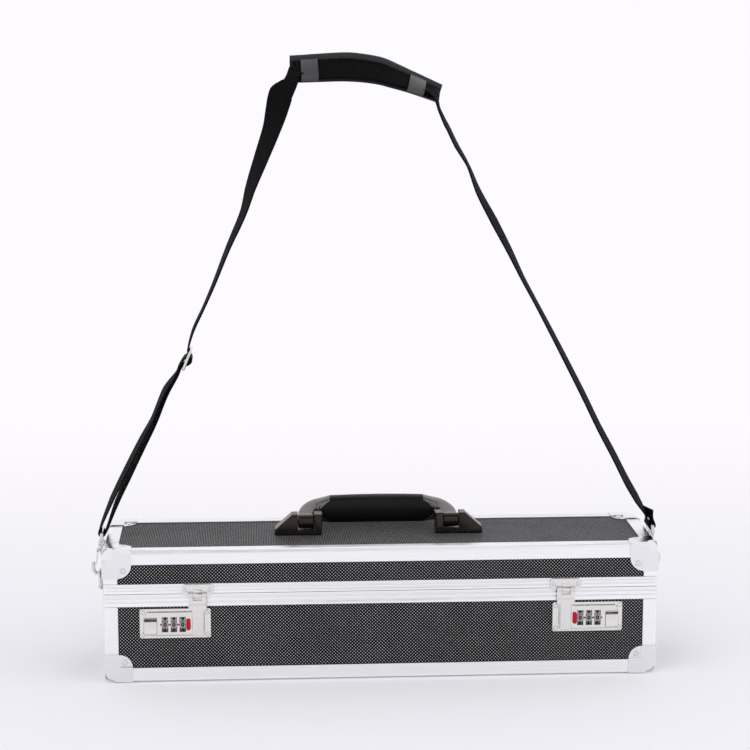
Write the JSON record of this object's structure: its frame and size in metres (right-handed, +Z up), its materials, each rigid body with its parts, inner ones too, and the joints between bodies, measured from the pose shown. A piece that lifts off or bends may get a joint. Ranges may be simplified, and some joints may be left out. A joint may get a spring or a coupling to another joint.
{
  "type": "hard knife case",
  "caption": "Hard carrying case for kitchen knives: hinged lid, combination hasp locks, folding handle and a clip-on shoulder strap.",
  "frame": {"origin": "centre of the plane that the case stands on, below the middle of its length and depth", "axes": "+Z up; +X to the right along the case; the front with its locks faces -Y"},
  "size_m": [0.5282, 0.1298, 0.5594],
  "materials": {
    "edging": "satin anodised extrusion",
    "cap": "bright plated pressing",
    "panel": "black laminate with a fine lattice of light dots",
    "lining": "black foam-backed cloth",
    "lock": "nickel plated",
    "dial": "grey plated wheels with dark digits",
    "lever": "red",
    "bronze": "dark bronze plated",
    "grip": "satin black",
    "hardware": "bright plated wire and pressings",
    "webbing": "black woven nylon with fine cross ribs",
    "pad": "dark grey moulding"
  },
  "bodies": {
    "base": {"base_bottom_edging": "edging", "base_rim_edging": "edging", "base_bottom_panel": "panel", "base_front_panel": "panel", "base_back_panel": "panel", "base_left_panel": "panel", "base_right_panel": "panel", "base_cap_front_left": "cap", "base_cap_front_right": "cap", "base_cap_back_left": "cap", "base_cap_back_right": "cap", "base_lining": "lining", "lock_left": "lock", "lock_right": "lock", "hinge_base_leaf_left": "lock", "hinge_base_leaf_right": "lock", "strap_anchor_left": "hardware", "strap_anchor_right": "hardware", "strap_eye_left": "hardware", "strap_eye_right": "hardware", "strap_webbing": "webbing", "strap_slider": "hardware", "shoulder_pad": "pad"},
    "lid": {"lid_rim_edging": "edging", "lid_top_edging": "edging", "lid_top_panel": "panel", "lid_front_panel": "panel", "lid_back_panel": "panel", "lid_left_panel": "panel", "lid_right_panel": "panel", "lid_cap_front_left": "cap", "lid_cap_front_right": "cap", "lid_cap_back_left": "cap", "lid_cap_back_right": "cap", "hasp_plate_left": "lock", "hasp_plate_right": "lock", "hinge_lid_leaf_left": "lock", "hinge_lid_leaf_right": "lock", "handle_foot_left": "bronze", "handle_foot_right": "bronze"},
    "handle": {"handle_frame": "bronze", "handle_grip": "grip"},
    "hasp_left": {"hasp_left": "lock"},
    "hasp_right": {"hasp_right": "lock"},
    "dial_left_1": {"dial_left_1": "dial"},
    "dial_left_2": {"dial_left_2": "dial"},
    "dial_left_3": {"dial_left_3": "dial"},
    "dial_right_1": {"dial_right_1": "dial"},
    "dial_right_2": {"dial_right_2": "dial"},
    "dial_right_3": {"dial_right_3": "dial"},
    "release_button_left": {"release_button_left": "lock"},
    "release_button_right": {"release_button_right": "lock"},
    "code_lever_left": {"code_lever_left": "lever"},
    "code_lever_right": {"code_lever_right": "lever"},
    "ring_left": {"strap_ring_left": "hardware"},
    "ring_right": {"strap_ring_right": "hardware"},
    "hook_left": {"snap_hook_left": "hardware"},
    "hook_right": {"snap_hook_right": "hardware"},
    "gate_left": {"snap_gate_left": "hardware"},
    "gate_right": {"snap_gate_right": "hardware"}
  },
  "joints": [
    {"name": "lid_hinge", "type": "hinge", "parent": "base", "child": "lid", "pos_m": [0, 0.0626, 0.08225], "axis": [-1, 0, 0], "range_deg": [0, 95], "deforming": ["strap_webbing"]},
    {"name": "handle_fold", "type": "hinge", "parent": "lid", "child": "handle", "pos_m": [0, 0, 0.1325], "axis": [1, 0, 0], "range_deg": [0, 170]},
    {"name": "hasp_left_hinge", "type": "hinge", "parent": "lid", "child": "hasp_left", "pos_m": [-0.166, -0.0626, 0.0816], "axis": [-1, 0, 0], "range_deg": [0, 110]},
    {"name": "hasp_right_hinge", "type": "hinge", "parent": "lid", "child": "hasp_right", "pos_m": [0.166, -0.0626, 0.0816], "axis": [-1, 0, 0], "range_deg": [0, 110]},
    {"name": "dial_left_1_turn", "type": "hinge", "parent": "base", "child": "dial_left_1", "pos_m": [-0.1953, -0.0534, 0.0543], "axis": [1, 0, 0], "continuous": true},
    {"name": "dial_left_2_turn", "type": "hinge", "parent": "base", "child": "dial_left_2", "pos_m": [-0.1874, -0.0534, 0.0543], "axis": [1, 0, 0], "continuous": true},
    {"name": "dial_left_3_turn", "type": "hinge", "parent": "base", "child": "dial_left_3", "pos_m": [-0.1795, -0.0534, 0.0543], "axis": [1, 0, 0], "continuous": true},
    {"name": "dial_right_1_turn", "type": "hinge", "parent": "base", "child": "dial_right_1", "pos_m": [0.1953, -0.0534, 0.0543], "axis": [1, 0, 0], "continuous": true},
    {"name": "dial_right_2_turn", "type": "hinge", "parent": "base", "child": "dial_right_2", "pos_m": [0.1874, -0.0534, 0.0543], "axis": [1, 0, 0], "continuous": true},
    {"name": "dial_right_3_turn", "type": "hinge", "parent": "base", "child": "dial_right_3", "pos_m": [0.1795, -0.0534, 0.0543], "axis": [1, 0, 0], "continuous": true},
    {"name": "release_button_left_slide", "type": "slide", "parent": "base", "child": "release_button_left", "axis": [0, 0, 1], "range_m": [0, 0.0028], "stiffness_N_per_m": 500, "springref_m": -0.001},
    {"name": "release_button_right_slide", "type": "slide", "parent": "base", "child": "release_button_right", "axis": [0, 0, 1], "range_m": [0, 0.0028], "stiffness_N_per_m": 500, "springref_m": -0.001},
    {"name": "code_lever_left_slide", "type": "slide", "parent": "base", "child": "code_lever_left", "axis": [0, 0, -1], "range_m": [0, 0.002]},
    {"name": "code_lever_right_slide", "type": "slide", "parent": "base", "child": "code_lever_right", "axis": [0, 0, -1], "range_m": [0, 0.002]},
    {"name": "ring_left_hinge", "type": "hinge", "parent": "base", "child": "ring_left", "pos_m": [-0.2549, 0, 0.0755], "axis": [0, -1, 0], "range_deg": [-1, 4]},
    {"name": "ring_right_hinge", "type": "hinge", "parent": "base", "child": "ring_right", "pos_m": [0.2549, 0, 0.0755], "axis": [0, 1, 0], "range_deg": [-1, 4]},
    {"name": "hook_left_swivel", "type": "hinge", "parent": "base", "child": "hook_left", "pos_m": [-0.2544, 0, 0.1146], "axis": [0.0872, 0, 0.9962], "range_deg": [-10, 10]},
    {"name": "hook_right_swivel", "type": "hinge", "parent": "base", "child": "hook_right", "pos_m": [0.2544, 0, 0.1146], "axis": [-0.0872, 0, 0.9962], "range_deg": [-10, 10]},
    {"name": "gate_left_hinge", "type": "hinge", "parent": "hook_left", "child": "gate_left", "pos_m": [-0.2579, 0, 0.1081], "axis": [0, -1, 0], "range_deg": [0, 15], "stiffness_Nm_per_rad": 0.02, "springref_deg": -17.19},
    {"name": "gate_right_hinge", "type": "hinge", "parent": "hook_right", "child": "gate_right", "pos_m": [0.2579, 0, 0.1081], "axis": [0, 1, 0], "range_deg": [0, 15], "stiffness_Nm_per_rad": 0.02, "springref_deg": -17.19}
  ]
}
